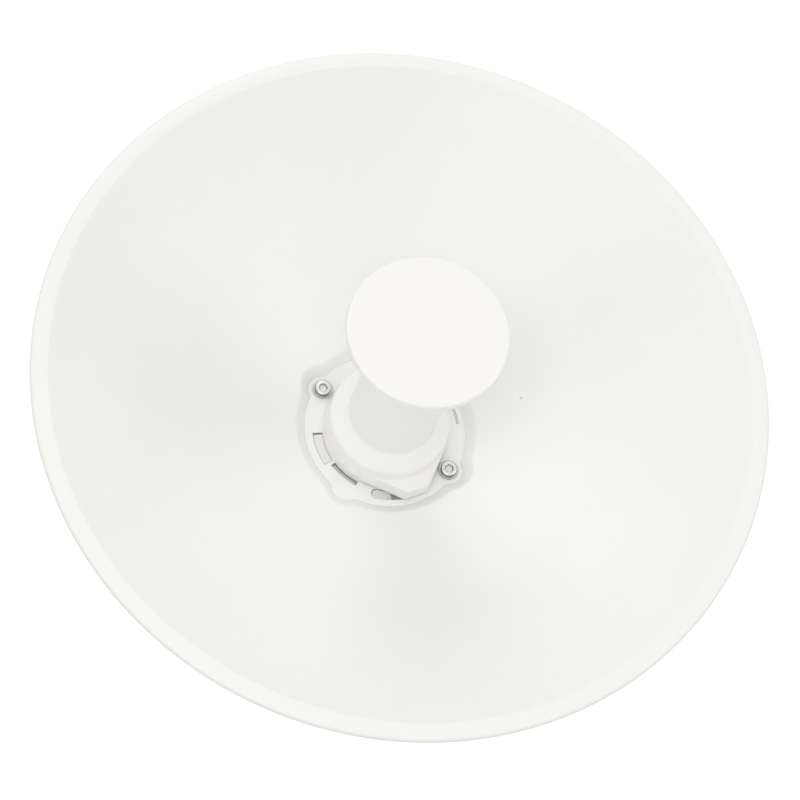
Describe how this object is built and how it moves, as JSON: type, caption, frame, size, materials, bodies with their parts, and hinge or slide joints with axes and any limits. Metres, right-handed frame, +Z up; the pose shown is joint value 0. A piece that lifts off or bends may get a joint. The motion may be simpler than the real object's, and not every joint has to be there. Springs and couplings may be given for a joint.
{
  "type": "microwave dish antenna",
  "caption": "Round parabolic dish with a rolled rim, slotted hub plate, tubular feed with a round front disc, rear radio housing and a mast bracket.",
  "frame": {"origin": "middle of the flat rear face of the mast bracket, the face that lies against the mast", "axes": "+Z up, -Y along the dish's line of sight, +Y out of the mast bracket's rear face, +X to the right seen from the front"},
  "size_m": [0.42, 0.2595, 0.42],
  "materials": {
    "white_paint": "smooth white powder coat, semi-matt",
    "white_moulding": "white ultraviolet-stable plastic, fine grain",
    "stainless_steel": "machined stainless",
    "galvanised_steel": "galvanised, soft spangle",
    "dark_moulding": "dark grey plastic"
  },
  "bodies": {
    "root": {"reflector": "white_paint", "hub_plate": "white_moulding", "hub_screw_upper": "stainless_steel", "hub_screw_lower": "stainless_steel", "hub_washer_upper": "stainless_steel", "hub_washer_lower": "stainless_steel", "feed_collar": "white_moulding", "feed_tube": "white_moulding", "feed_disc": "white_moulding", "rear_flange": "white_paint", "radio_housing": "white_paint", "port_cover": "white_moulding", "cable_gland": "dark_moulding", "gland_nut": "dark_moulding", "tilt_bracket": "galvanised_steel", "mast_bracket": "galvanised_steel", "pivot_bolt_left": "galvanised_steel", "pivot_bolt_right": "galvanised_steel", "pivot_nut_left": "galvanised_steel", "pivot_nut_right": "galvanised_steel", "pivot_washer_left": "galvanised_steel", "pivot_washer_right": "galvanised_steel", "lock_bolt_left": "galvanised_steel", "lock_bolt_right": "galvanised_steel", "lock_nut_left": "galvanised_steel", "lock_nut_right": "galvanised_steel", "lock_washer_left": "galvanised_steel", "lock_washer_right": "galvanised_steel", "panel_screw_1": "stainless_steel", "panel_screw_2": "stainless_steel", "panel_screw_3": "stainless_steel", "panel_screw_4": "stainless_steel"}
  },
  "joints": []
}
